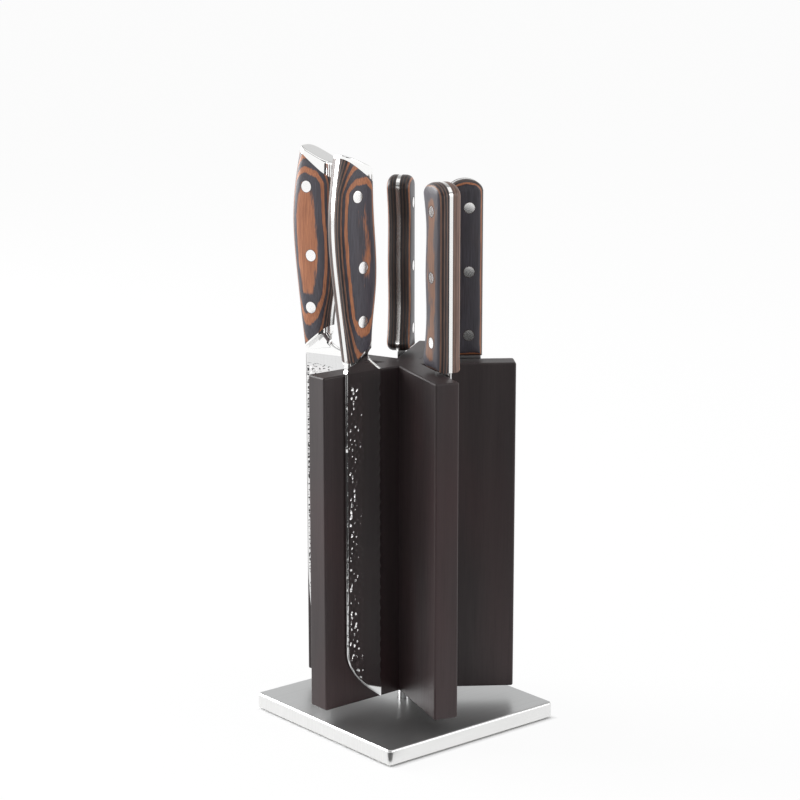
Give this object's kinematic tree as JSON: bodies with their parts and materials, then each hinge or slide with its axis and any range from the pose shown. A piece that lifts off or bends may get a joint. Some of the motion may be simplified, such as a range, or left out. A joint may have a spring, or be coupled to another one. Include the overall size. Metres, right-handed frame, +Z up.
{
  "type": "rotating magnetic knife block with knives",
  "caption": "Knife block whose dark wooden star turns on a square steel base; hidden magnets hold a chef's knife, a bread knife and small knives flat against its wings.",
  "frame": {"origin": "centre of the pad's underside, on the spindle's axis", "axes": "+Z up along the spindle, -Y along the wing that holds the bread knife"},
  "size_m": [0.1312, 0.1318, 0.3516],
  "materials": {
    "plate_steel": "brushed",
    "blade_steel": "satin",
    "polished_steel": "polished",
    "fastener_steel": "plain",
    "dark_wood": "stained satin",
    "layered_wood": "layered satin",
    "magnet": "plated",
    "brass": "turned",
    "nylon": "plain",
    "pad": "matt"
  },
  "bodies": {
    "base": {"base_plate": "plate_steel", "base_pad": "pad", "pivot_bush": "brass", "thrust_washer": "nylon"},
    "block": {"spindle": "polished_steel", "retaining_washer": "fastener_steel", "retaining_screw": "fastener_steel", "block_insert": "brass", "wing_board_1": "dark_wood", "wing_face_1": "dark_wood", "wing_magnets_1": "magnet", "wing_board_2": "dark_wood", "wing_face_2": "dark_wood", "wing_magnets_2": "magnet", "wing_board_3": "dark_wood", "wing_face_3": "dark_wood", "wing_magnets_3": "magnet", "wing_board_4": "dark_wood", "wing_face_4": "dark_wood", "wing_magnets_4": "magnet", "wing_board_5": "dark_wood", "wing_face_5": "dark_wood", "wing_magnets_5": "magnet"},
    "chef_knife": {"chef_knife_blade": "blade_steel", "chef_knife_scale_outer": "layered_wood", "chef_knife_scale_inner": "layered_wood", "chef_knife_end_cap": "polished_steel", "chef_knife_rivets": "polished_steel"},
    "bread_knife": {"bread_knife_blade": "blade_steel", "bread_knife_scale_outer": "layered_wood", "bread_knife_scale_inner": "layered_wood", "bread_knife_end_cap": "polished_steel", "bread_knife_rivets": "polished_steel"},
    "back_knife": {"back_knife_blade": "blade_steel", "back_knife_scale_outer": "layered_wood", "back_knife_scale_inner": "layered_wood", "back_knife_rivets": "polished_steel"},
    "front_knife": {"front_knife_blade": "blade_steel", "front_knife_scale_outer": "layered_wood", "front_knife_scale_inner": "layered_wood", "front_knife_rivets": "polished_steel"},
    "right_knife": {"right_knife_blade": "blade_steel", "right_knife_scale_outer": "layered_wood", "right_knife_scale_inner": "layered_wood", "right_knife_rivets": "polished_steel"}
  },
  "joints": [
    {"name": "block_turn", "type": "hinge", "parent": "base", "child": "block", "pos_m": [0, 0, 0], "axis": [0, 0, 1], "continuous": true},
    {"name": "chef_knife_lift", "type": "slide", "parent": "block", "child": "chef_knife", "axis": [0, 0, 1], "range_m": [0, 0.21]},
    {"name": "bread_knife_lift", "type": "slide", "parent": "block", "child": "bread_knife", "axis": [0, 0, 1], "range_m": [0, 0.21]},
    {"name": "back_knife_lift", "type": "slide", "parent": "block", "child": "back_knife", "axis": [0, 0, 1], "range_m": [0, 0.125]},
    {"name": "front_knife_lift", "type": "slide", "parent": "block", "child": "front_knife", "axis": [0, 0, 1], "range_m": [0, 0.125]},
    {"name": "right_knife_lift", "type": "slide", "parent": "block", "child": "right_knife", "axis": [0, 0, 1], "range_m": [0, 0.125]}
  ]
}
